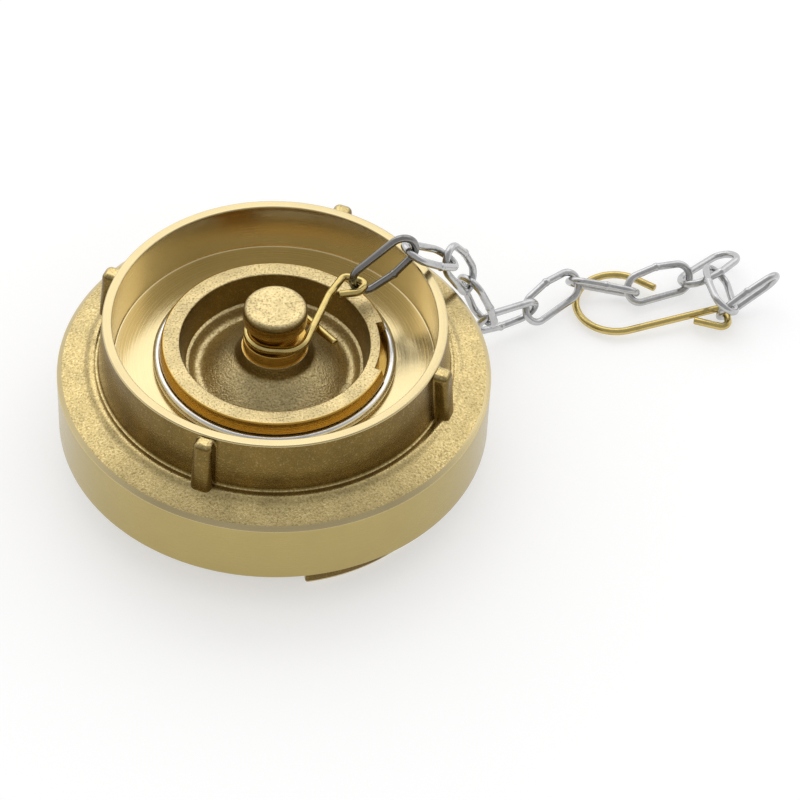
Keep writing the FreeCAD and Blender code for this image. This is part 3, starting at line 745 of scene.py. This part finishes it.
def lie_of(wires):
    """Turn and shift of each link and of the end hook for the wire sizes."""
    hook, chain = wires.hook_wire / MM, wires.chain_wire / MM
    link = link_line(wires.link_length / MM, wires.crown_radius / MM, chain, FINE_STEP)[0]
    return chain_lie(link, (hook + chain) / 2 + WIRE_PLAY, chain + WIRE_PLAY)


def placed(shell, turn, shift):
    """A shell turned and shifted to its place."""
    points, faces, zone = shell
    return points @ turn.T + shift, faces, zone


# Materials


def add(tree, kind, values=(), **settings):
    """Node with its settings; each value of a socket is a number, a colour or another node's socket."""
    node = tree.nodes.new(kind)
    for key, value in settings.items():
        setattr(node, key, value)
    for key, value in dict(values).items():
        if isinstance(value, bpy.types.NodeSocket):
            tree.links.new(value, node.inputs[key])
        else:
            node.inputs[key].default_value = value
    return node


def maths(tree, operation, *values, **settings):
    """What a Math node makes of the values, as a socket."""
    return add(tree, "ShaderNodeMath", enumerate(values), operation=operation, **settings).outputs[0]


def sum_of(tree, base, wave, share):
    """base + (wave - 0.5) share, as a socket."""
    return maths(tree, "MULTIPLY_ADD", maths(tree, "SUBTRACT", wave, 0.5), share, base)


def noise(tree, place, scale, detail, roughness=0.5, **settings):
    """Noise texture's value at a place, as a socket."""
    values = {"Vector": place, "Scale": scale, "Detail": detail, "Roughness": roughness}
    return add(tree, "ShaderNodeTexNoise", values, **settings).outputs["Fac"]


def ranged(tree, value, start, end, low=0.0, high=1.0, **settings):
    """The value brought from start..end to low..high, as a socket."""
    values = {"Value": value, "From Min": start, "From Max": end, "To Min": low, "To Max": high}
    return add(tree, "ShaderNodeMapRange", values, **settings).outputs[0]


def mixed(tree, share, first, second):
    """The first colour with a share of the second, as a socket."""
    return add(tree, "ShaderNodeMix", {0: share, 6: first, 7: second}, data_type="RGBA").outputs[2]


def shaded(tree, colour, level):
    """The colour made lighter or darker by the level, as a socket."""
    return add(tree, "ShaderNodeHueSaturation", {"Color": colour, "Value": level}).outputs[0]


def new_skin(name, inputs):
    """Node group of a finish. It takes the inputs, colours or numbers with their defaults, and puts out
    Color, Roughness and Height. Gives the tree and the sockets of its inputs."""
    tree = bpy.data.node_groups.new(name, "ShaderNodeTree")
    for label, value in inputs.items():
        kind = "NodeSocketColor" if isinstance(value, tuple) else "NodeSocketFloat"
        tree.interface.new_socket(name=label, in_out="INPUT", socket_type=kind).default_value = value
    for label, kind in SKIN_OUTPUTS.items():
        tree.interface.new_socket(name=label, in_out="OUTPUT", socket_type=kind)
    return tree, tree.nodes.new("NodeGroupInput").outputs


def cast_skin():
    """Sand-cast and shot-blasted skin: fine pits and bright specks painted as glints over slow patches of
    tarnish, with painted shade mixed in where the surface stands steep."""
    tree, given = new_skin("cast_skin", {
        "Color": (0.5, 0.35, 0.12, 1), "Pit": (0.16, 0.09, 0.02, 1), "Glint": (0.9, 0.72, 0.35, 1),
        "SteepShade": (0.26, 0.17, 0.05, 1), "Fineness": 2600.0, "Roughness": 0.4, "Contrast": 0.7})
    where = add(tree, "ShaderNodeTexCoord")
    place = where.outputs["Object"]
    upward = add(tree, "ShaderNodeSeparateXYZ", {0: where.outputs["Normal"]}).outputs[2]
    # Painted shade: 0 where the face is near level, 1 where it stands steep.
    steep = ranged(tree, maths(tree, "ABSOLUTE", upward), 0.92, 0.55)
    fine = noise(tree, place, given["Fineness"], 2.0, 0.55)
    patch = noise(tree, place, 190.0, 4.0, 0.6)
    pits = ranged(tree, fine, 0.47, 0.33, high=given["Contrast"])
    # Painted glints: bright specks where the fine noise is high, thinned on steep faces further down.
    glints = ranged(tree, fine, 0.54, 0.68, high=given["Contrast"])
    # Painted shade: the ground colour goes over to the dark shade colour on steep faces.
    ground = mixed(tree, steep, given["Color"], given["SteepShade"])
    pitted = mixed(tree, pits, ground, given["Pit"])
    glints = maths(tree, "MULTIPLY", glints, maths(tree, "MULTIPLY_ADD", steep, -0.8, 1.0))
    glinted = mixed(tree, glints, pitted, given["Glint"])
    add(tree, "NodeGroupOutput", {
        "Color": shaded(tree, glinted, ranged(tree, patch, 0.3, 0.7, 0.82, 1.14)),
        "Roughness": sum_of(tree, given["Roughness"], fine, -0.35),
        "Height": sum_of(tree, fine, patch, 1.5)})
    return tree


def turned_skin():
    """Lathe-turned skin: lines of one radius and height round Z, with slow tarnish."""
    tree, given = new_skin("turned_skin", {
        "Color": (0.7, 0.55, 0.25, 1), "Lines": 5000.0, "Roughness": 0.22, "Contrast": 0.25,
        "Tarnish": 0.2})
    place = add(tree, "ShaderNodeTexCoord").outputs["Object"]
    parts = add(tree, "ShaderNodeSeparateXYZ", {0: place}).outputs
    plan = add(tree, "ShaderNodeCombineXYZ", {0: parts[0], 1: parts[1], 2: 0.0}).outputs[0]
    radius = add(tree, "ShaderNodeVectorMath", {0: plan}, operation="LENGTH").outputs["Value"]
    section = add(tree, "ShaderNodeCombineXYZ", {0: radius, 1: parts[2], 2: 0.0}).outputs[0]
    lines = noise(tree, section, given["Lines"], 2.0, 0.6, noise_dimensions="2D")
    patch = noise(tree, place, 110.0, 3.0, 0.55)
    level = sum_of(tree, sum_of(tree, 1.0, lines, given["Contrast"]), patch, given["Tarnish"])
    add(tree, "NodeGroupOutput", {
        "Color": shaded(tree, given["Color"], level),
        "Roughness": sum_of(tree, sum_of(tree, given["Roughness"], lines, 0.2), patch, 0.12),
        "Height": lines})
    return tree


def wire_skin():
    """Drawn or plated wire, and rubber: slow patches and small scuffs."""
    tree, given = new_skin("wire_skin", {
        "Color": (0.6, 0.6, 0.58, 1), "Scuff": (0.3, 0.3, 0.3, 1), "Roughness": 0.3, "Contrast": 0.35})
    place = add(tree, "ShaderNodeTexCoord").outputs["Object"]
    patch = noise(tree, place, 420.0, 4.0, 0.62)
    fine = noise(tree, place, 2600.0, 2.0)
    scuffs = ranged(tree, patch, 0.5, 0.68, high=given["Contrast"])
    scuffed = mixed(tree, scuffs, given["Color"], given["Scuff"])
    add(tree, "NodeGroupOutput", {
        "Color": shaded(tree, scuffed, sum_of(tree, 1.0, fine, 0.25)),
        "Roughness": sum_of(tree, given["Roughness"], patch, 0.3),
        "Height": sum_of(tree, fine, patch, 1.2)})
    return tree


def shared_group(build):
    """The node group that the function builds, made once."""
    return bpy.data.node_groups.get(build.__name__) or build()


def new_material(name, build, values, metallic=1.0, bump=0.3, depth=0.1):
    """Material whose colour, roughness and bump come from a shared group; the depth is in mm."""
    found = bpy.data.materials.get(name)
    if found:
        return found
    material = bpy.data.materials.new(name)
    material.use_nodes = True
    tree = material.node_tree
    shader = tree.nodes["Principled BSDF"]
    shader.inputs["Metallic"].default_value = metallic
    skin = tree.nodes.new("ShaderNodeGroup")
    skin.node_tree = shared_group(build)
    for label, value in values.items():
        skin.inputs[label].default_value = value
    relief = add(tree, "ShaderNodeBump", {"Height": skin.outputs["Height"], "Strength": bump,
                                          "Distance": depth * MM})
    tree.links.new(skin.outputs["Color"], shader.inputs["Base Color"])
    tree.links.new(skin.outputs["Roughness"], shader.inputs["Roughness"])
    tree.links.new(relief.outputs[0], shader.inputs["Normal"])
    return material


def opaque(colour, factor=1.0):
    """Colour with an alpha of 1, made lighter or darker by the factor."""
    return tuple(min(1.0, c * factor) for c in colour) + (1.0,)


def wire_material(name, colour, tone, scuff, roughness, **settings):
    """Material of wire or rubber: the colour, lighter or darker by the tone, and by the scuff in scuffs."""
    return new_material(name, wire_skin, {"Color": opaque(colour, tone), "Scuff": opaque(colour, scuff),
                                          "Roughness": roughness}, **settings)


def grey(level):
    """Opaque grey of the level."""
    return (level, level, level, 1.0)


# Stage


def looking(place, forward, roll):
    """Placement that looks along forward from the place, its picture turned by the roll in radians."""
    right = np.cross(forward, UP)
    right /= np.linalg.norm(right)
    up = np.cross(right, forward)
    across = math.cos(roll) * right + math.sin(roll) * up
    upper = math.cos(roll) * up - math.sin(roll) * right
    matrix = np.eye(4)
    matrix[:3, :4] = np.stack([across, upper, -np.asarray(forward), np.asarray(place)], 1)
    return Matrix(matrix.tolist())


def seen_directly(tree):
    """Socket that is 1 for the camera's rays and for those that gloss or glass sends on, else 0."""
    rays = add(tree, "ShaderNodeLightPath").outputs
    seen = maths(tree, "ADD", rays["Is Camera Ray"], rays["Is Glossy Ray"])
    return maths(tree, "ADD", seen, rays["Is Transmission Ray"], use_clamp=True)


def add_floor(scene):
    """Plain floor at the height of the part's lowest point. Where it is seen directly it is greyer and
    glows, so that it looks white and the shadows on it stay pale."""
    reach, height = FLOOR_REACH, CAD_BOX[0][2]
    mesh = bpy.data.meshes.new("floor")
    mesh.from_pydata([(-reach, -reach, height), (reach, -reach, height), (reach, reach, height),
                      (-reach, reach, height)], [], [(0, 1, 2, 3)])
    floor = bpy.data.objects.new("floor", mesh)
    material = bpy.data.materials.new("floor")
    material.use_nodes = True
    shader = material.node_tree.nodes["Principled BSDF"]
    tree = material.node_tree
    seen = seen_directly(tree)
    colour = mixed(tree, seen, opaque(scene.cap_colours.floor), grey(FLOOR_SEEN))
    glow = mixed(tree, seen, grey(0.0), grey(FLOOR_GLOW))
    tree.links.new(colour, shader.inputs["Base Color"])
    tree.links.new(glow, shader.inputs["Emission Color"])
    shader.inputs["Emission Strength"].default_value = 1.0
    shader.inputs["Roughness"].default_value = 0.9
    shader.inputs["Specular IOR Level"].default_value = 0.0
    mesh.materials.append(material)
    scene.collection.objects.link(floor)


def add_lamps(scene):
    """Round area lamps that face the origin."""
    for name, place, size, watts in LAMPS:
        data = bpy.data.lights.new(name, "AREA")
        data.shape = "DISK"
        data.size = size
        data.energy = watts
        lamp = bpy.data.objects.new(name, data)
        back = np.array(place) / np.linalg.norm(place)
        lamp.matrix_world = looking(place, -back, 0.0)
        scene.collection.objects.link(lamp)


def add_world(scene):
    """Soft light all round. Reflections find it bright behind the part, and darker overhead and on the
    camera's side, and the camera itself sees white."""
    world = bpy.data.worlds.new("studio")
    scene.world = world
    world.use_nodes = True
    tree = world.node_tree
    tree.nodes.clear()
    rays = add(tree, "ShaderNodeLightPath")
    toward = add(tree, "ShaderNodeTexCoord").outputs["Generated"]
    behind = add(tree, "ShaderNodeVectorMath", {0: toward, 1: WORLD_BRIGHT}, operation="DOT_PRODUCT")
    level = ranged(tree, behind.outputs["Value"], *WORLD_SPAN, *WORLD_LEVELS,
                   interpolation_type="SMOOTHSTEP")
    level = maths(tree, "MAXIMUM", level, rays.outputs["Is Camera Ray"])
    soft = add(tree, "ShaderNodeBackground", {"Color": grey(1.0), "Strength": WORLD_SOFT})
    white = add(tree, "ShaderNodeBackground", {"Color": grey(1.0), "Strength": level})
    seen = seen_directly(tree)
    both = add(tree, "ShaderNodeMixShader", {0: seen, 1: soft.outputs[0], 2: white.outputs[0]})
    add(tree, "ShaderNodeOutputWorld", {"Surface": both.outputs[0]})


def add_camera(scene):
    """Camera at the photograph's place, looking its way."""
    data = bpy.data.cameras.new("camera")
    data.sensor_width = 36.0
    data.lens = CAMERA_FOCAL
    data.clip_start = 0.05
    data.clip_end = 20.0
    camera = bpy.data.objects.new("camera", data)
    down, aside = math.radians(CAMERA_DOWN), math.radians(CAMERA_ASIDE)
    level = math.cos(down)
    forward = np.array([math.sin(aside) * level, math.cos(aside) * level, -math.sin(down)])
    camera.matrix_world = looking(CAMERA_PLACE, forward, math.radians(CAMERA_ROLL))
    scene.collection.objects.link(camera)
    scene.camera = camera


# Steps of the add-on


class CAP_OT_coupling_ring(bpy.types.Operator):
    """Coupling ring with its ledges, claws and wrench lugs"""
    bl_idname = "cap.coupling_ring"
    bl_label = "Coupling ring"

    def execute(self, context):
        sizes, colours = context.scene.cap_sizes, context.scene.cap_colours
        growth = sizes.flange_radius / MM - FLANGE_R
        corners = [(r + growth if r > FLANGE_FROM else r, z, e, f) for r, z, e, f in RING_CORNERS]
        line, finish = section_line(corners, True)
        entries = [CLAW_AZ + CLAW_SPAN / 2 + k for k in (0, ENTRY_SPAN, 180, 180 + ENTRY_SPAN)]
        angles = turn_angles(sizes.turn_steps, entries)
        shells = [turned_surface(line, finish, angles, True, ledge_shape)]
        shells += [claw_shell(CLAW_AZ), claw_shell(CLAW_AZ + 180)]
        for lug in range(sizes.lug_count):
            azimuth = LUG_AZ + lug * 360 / sizes.lug_count
            shells.append(lug_shell(azimuth, sizes.lug_reach / MM, sizes.lug_width / MM))
        # The ring's cast skin carries painted shade on steep faces and painted glints on level ones.
        cast = new_material("sand_cast_ring", cast_skin, {
            "Color": opaque(colours.cast), "Pit": opaque(colours.cast, 0.38),
            "Glint": opaque(colours.turned, 1.35), "SteepShade": opaque(colours.wall), "Roughness": 0.25,
            "Contrast": 0.6}, bump=0.28, depth=0.1)
        turned = new_material("turned_ring", turned_skin, {"Color": opaque(colours.turned)}, bump=0.12)
        # Painted light: the faced floor annulus takes the turned brass made 1.2 times lighter.
        faced_lit = new_material("faced_ring_lit", turned_skin, {
            "Color": opaque(colours.turned, 1.2), "Lines": 3200.0, "Contrast": 0.2}, bump=0.12)
        # Painted shade: the flange's turned side takes the darkened copy of the turned brass.
        side = new_material("turned_side_shaded", turned_skin, {
            "Color": opaque(colours.side), "Contrast": 0.12, "Tarnish": 0.15, "Roughness": 0.24}, bump=0.08)
        new_piece("coupling_ring_skin", shells, [cast, turned, faced_lit, side], "coupling_ring", "ring")
        return {"FINISHED"}


class CAP_OT_blank_plug(bpy.types.Operator):
    """Blank plug with its bowl, key slot and knob"""
    bl_idname = "cap.blank_plug"
    bl_label = "Blank plug"

    def execute(self, context):
        sizes, colours = context.scene.cap_sizes, context.scene.cap_colours
        line, finish = section_line(PLUG_CORNERS, False)
        angles = turn_angles(sizes.turn_steps, [SLOT_FROM, SLOT_TO])
        shell = turned_surface(line, finish, angles, False, slot_shape(line))
        # The plug's cast skin carries painted shade on steep faces and painted glints on level ones.
        cast = new_material("sand_cast_plug", cast_skin, {
            "Color": opaque(colours.bronze), "Pit": opaque(colours.bronze, 0.35),
            "Glint": opaque(colours.turned, 1.3), "SteepShade": opaque(colours.wall, 1.1), "Roughness": 0.36,
            "Contrast": 0.7}, bump=0.8, depth=0.15)
        # Painted shade: the plug's turned faces, all steep, take the steep shade colour made 3.2 times
        # lighter, a darkened brass.
        turned = new_material("turned_plug", turned_skin, {
            "Color": opaque(colours.wall, 3.2), "Roughness": 0.25}, bump=0.15)
        new_piece("blank_plug_skin", [shell], [cast, turned], "blank_plug", "plug")
        return {"FINISHED"}


class CAP_OT_snap_ring(bpy.types.Operator):
    """Snap ring of bright steel wire in the plug's groove"""
    bl_idname = "cap.snap_ring"
    bl_label = "Snap ring"

    def execute(self, context):
        wires, colours = context.scene.wire_sizes, context.scene.cap_colours
        start, end = SNAP_GAP_AZ + SNAP_GAP / 2, SNAP_GAP_AZ - SNAP_GAP / 2 + 360
        line = arc_points((0, 0), SNAP_R, start, end, SNAP_STEP)
        line[:, 2] = SNAP_Z
        shell = wire_surface(line, wires.snap_wire / MM / 2, wires.wire_sides, False, edge=0.15)
        steel = wire_material("snap_wire", colours.steel, tone=1.1, scuff=0.7, roughness=0.18, bump=0.08)
        new_piece("snap_ring_skin", [shell], [steel], "snap_ring", "plug")
        return {"FINISHED"}


class CAP_OT_seal_ring(bpy.types.Operator):
    """Rubber seal ring on the plug's front"""
    bl_idname = "cap.seal_ring"
    bl_label = "Seal ring"

    def execute(self, context):
        sizes, colours = context.scene.cap_sizes, context.scene.cap_colours
        line, finish = section_line(SEAL_CORNERS, True, step=1.0)
        shell = turned_surface(line, finish, turn_angles(sizes.turn_steps // 2), True)
        rubber = wire_material("seal_skin", colours.rubber, tone=1.0, scuff=2.2, roughness=0.55,
                               metallic=0.0, bump=0.15)
        new_piece("seal_ring_skin", [shell], [rubber], "seal_ring", "plug")
        return {"FINISHED"}


class CAP_OT_hooks(bpy.types.Operator):
    """Brass wire hooks: the one on the knob and the one at the chain's end"""
    bl_idname = "cap.hooks"
    bl_label = "Wire hooks"

    def execute(self, context):
        wires, colours = context.scene.wire_sizes, context.scene.cap_colours
        brass = wire_material("hook_wire", colours.wire, tone=1.0, scuff=0.45, roughness=0.22, bump=0.08)
        wire = wires.hook_wire / MM
        shell = wire_surface(knob_hook_line(WIRE_STEP)[0], wire / 2, wires.wire_sides, False)
        new_piece("knob_hook_skin", [shell], [brass], "knob_hook", "knob_hook")
        turn, shift = lie_of(wires)[-1]
        shell = wire_surface(end_hook_line(WIRE_STEP)[0], wire / 2, wires.wire_sides, False)
        shell = placed(shell, turn, shift)
        new_piece("end_hook_skin", [shell], [brass], "end_hook", "end_hook")
        return {"FINISHED"}


class CAP_OT_chain(bpy.types.Operator):
    """Chain of bent and butt-welded links"""
    bl_idname = "cap.chain"
    bl_label = "Chain"

    def execute(self, context):
        wires, colours = context.scene.wire_sizes, context.scene.cap_colours
        zinc = wire_material("zinc_wire", colours.zinc, tone=1.0, scuff=0.55, roughness=0.22, bump=0.08)
        # Link 1 is polished wire of low roughness, and its steel is darkened to 0.42 as a painted dark
        # reflection.
        dark = wire_material("polished_wire_shaded", colours.steel, tone=0.42, scuff=0.2, roughness=0.15, bump=0.1)
        wire = wires.chain_wire / MM
        line, weld = link_line(wires.link_length / MM, wires.crown_radius / MM, wire, LINK_STEP)
        ball = WELD_BEAD_R ** 2 - (cumulative(line) - weld) ** 2
        bead = np.sqrt(np.maximum(ball, (wire / 2) ** 2)) - wire / 2
        shell = wire_surface(line, wire / 2 + bead, wires.wire_sides, True)
        for number, (turn, shift) in enumerate(lie_of(wires)[:-1], 1):
            name = "link_%02d" % number
            material = dark if number == 1 else zinc
            new_piece(name + "_skin", [placed(shell, turn, shift)], [material], name, name)
        return {"FINISHED"}


class CAP_OT_stage(bpy.types.Operator):
    """Pale floor, soft lamps and the camera"""
    bl_idname = "cap.stage"
    bl_label = "Stage"

    def execute(self, context):
        scene = context.scene
        add_floor(scene)
        add_lamps(scene)
        add_world(scene)
        add_camera(scene)
        scene.view_settings.view_transform = "Standard"
        return {"FINISHED"}


STEPS = [CAP_OT_coupling_ring, CAP_OT_blank_plug, CAP_OT_snap_ring, CAP_OT_seal_ring, CAP_OT_hooks,
         CAP_OT_chain, CAP_OT_stage]


class CAP_PT_panel(bpy.types.Panel):
    """Blank cap's steps, sizes and colours"""
    bl_idname = "CAP_PT_panel"
    bl_label = "Blank cap"
    bl_space_type = "VIEW_3D"
    bl_region_type = "UI"
    bl_category = "Blank cap"

    def draw(self, context):
        for step in STEPS:
            self.layout.operator(step.bl_idname)
        for group in (context.scene.cap_sizes, context.scene.wire_sizes, context.scene.cap_colours):
            box = self.layout.box()
            for key in group.bl_rna.properties.keys():
                if key not in ("rna_type", "name"):
                    box.prop(group, key)


CLASSES = [CapSizes, WireSizes, CapColours] + STEPS + [CAP_PT_panel]


def register():
    for item in CLASSES:
        bpy.utils.register_class(item)
    bpy.types.Scene.cap_sizes = PointerProperty(type=CapSizes)
    bpy.types.Scene.wire_sizes = PointerProperty(type=WireSizes)
    bpy.types.Scene.cap_colours = PointerProperty(type=CapColours)


def unregister():
    del bpy.types.Scene.cap_sizes
    del bpy.types.Scene.wire_sizes
    del bpy.types.Scene.cap_colours
    for item in reversed(CLASSES):
        bpy.utils.unregister_class(item)


def main():
    """Runs every step in order."""
    register()
    bpy.ops.cap.coupling_ring()
    bpy.ops.cap.blank_plug()
    bpy.ops.cap.snap_ring()
    bpy.ops.cap.seal_ring()
    bpy.ops.cap.hooks()
    bpy.ops.cap.chain()
    bpy.ops.cap.stage()


if __name__ == "__main__":
    main()
